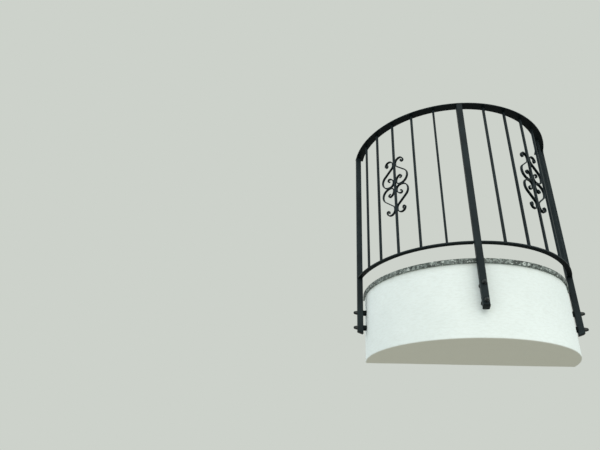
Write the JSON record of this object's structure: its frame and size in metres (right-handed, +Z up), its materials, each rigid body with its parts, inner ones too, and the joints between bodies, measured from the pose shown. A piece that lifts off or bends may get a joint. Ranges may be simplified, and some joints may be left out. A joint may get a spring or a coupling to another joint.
{
  "type": "wrought iron balcony",
  "caption": "Half-round wall balcony: a rendered slab with a granite floor and a curved black iron railing of square bars with scrollwork, bolted to the slab's face.",
  "frame": {"origin": "middle of the slab's flat back face, where the balcony meets the wall", "axes": "+X to the right along the wall, +Y into the wall, +Z up"},
  "size_m": [1.2936, 0.6566, 1.397],
  "materials": {
    "render": "white painted textured render",
    "granite": "speckled grey granite, sawn edge",
    "iron": "black satin paint",
    "fixing": "black paint over zinc",
    "cap": "black moulded plastic"
  },
  "bodies": {
    "root": {"slab": "render", "floor_slab": "granite", "handrail": "iron", "bottom_rail_left": "iron", "bottom_rail_right": "iron", "post_left": "iron", "post_front": "iron", "post_right": "iron", "post_cap_left": "cap", "post_cap_front": "cap", "post_cap_right": "cap", "spacer_left_upper": "fixing", "spacer_left_lower": "fixing", "spacer_front_upper": "fixing", "spacer_front_lower": "fixing", "spacer_right_upper": "fixing", "spacer_right_lower": "fixing", "anchor_left_upper": "fixing", "anchor_left_lower": "fixing", "anchor_front_upper": "fixing", "anchor_front_lower": "fixing", "anchor_right_upper": "fixing", "anchor_right_lower": "fixing", "bar_left_1": "iron", "bar_left_2": "iron", "bar_left_3": "iron", "bar_left_4": "iron", "bar_left_5": "iron", "bar_right_1": "iron", "bar_right_2": "iron", "bar_right_3": "iron", "bar_right_4": "iron", "bar_right_5": "iron", "scroll_left_1": "iron", "scroll_left_2": "iron", "scroll_left_3": "iron", "scroll_left_4": "iron", "scroll_right_1": "iron", "scroll_right_2": "iron", "scroll_right_3": "iron", "scroll_right_4": "iron"}
  },
  "joints": []
}
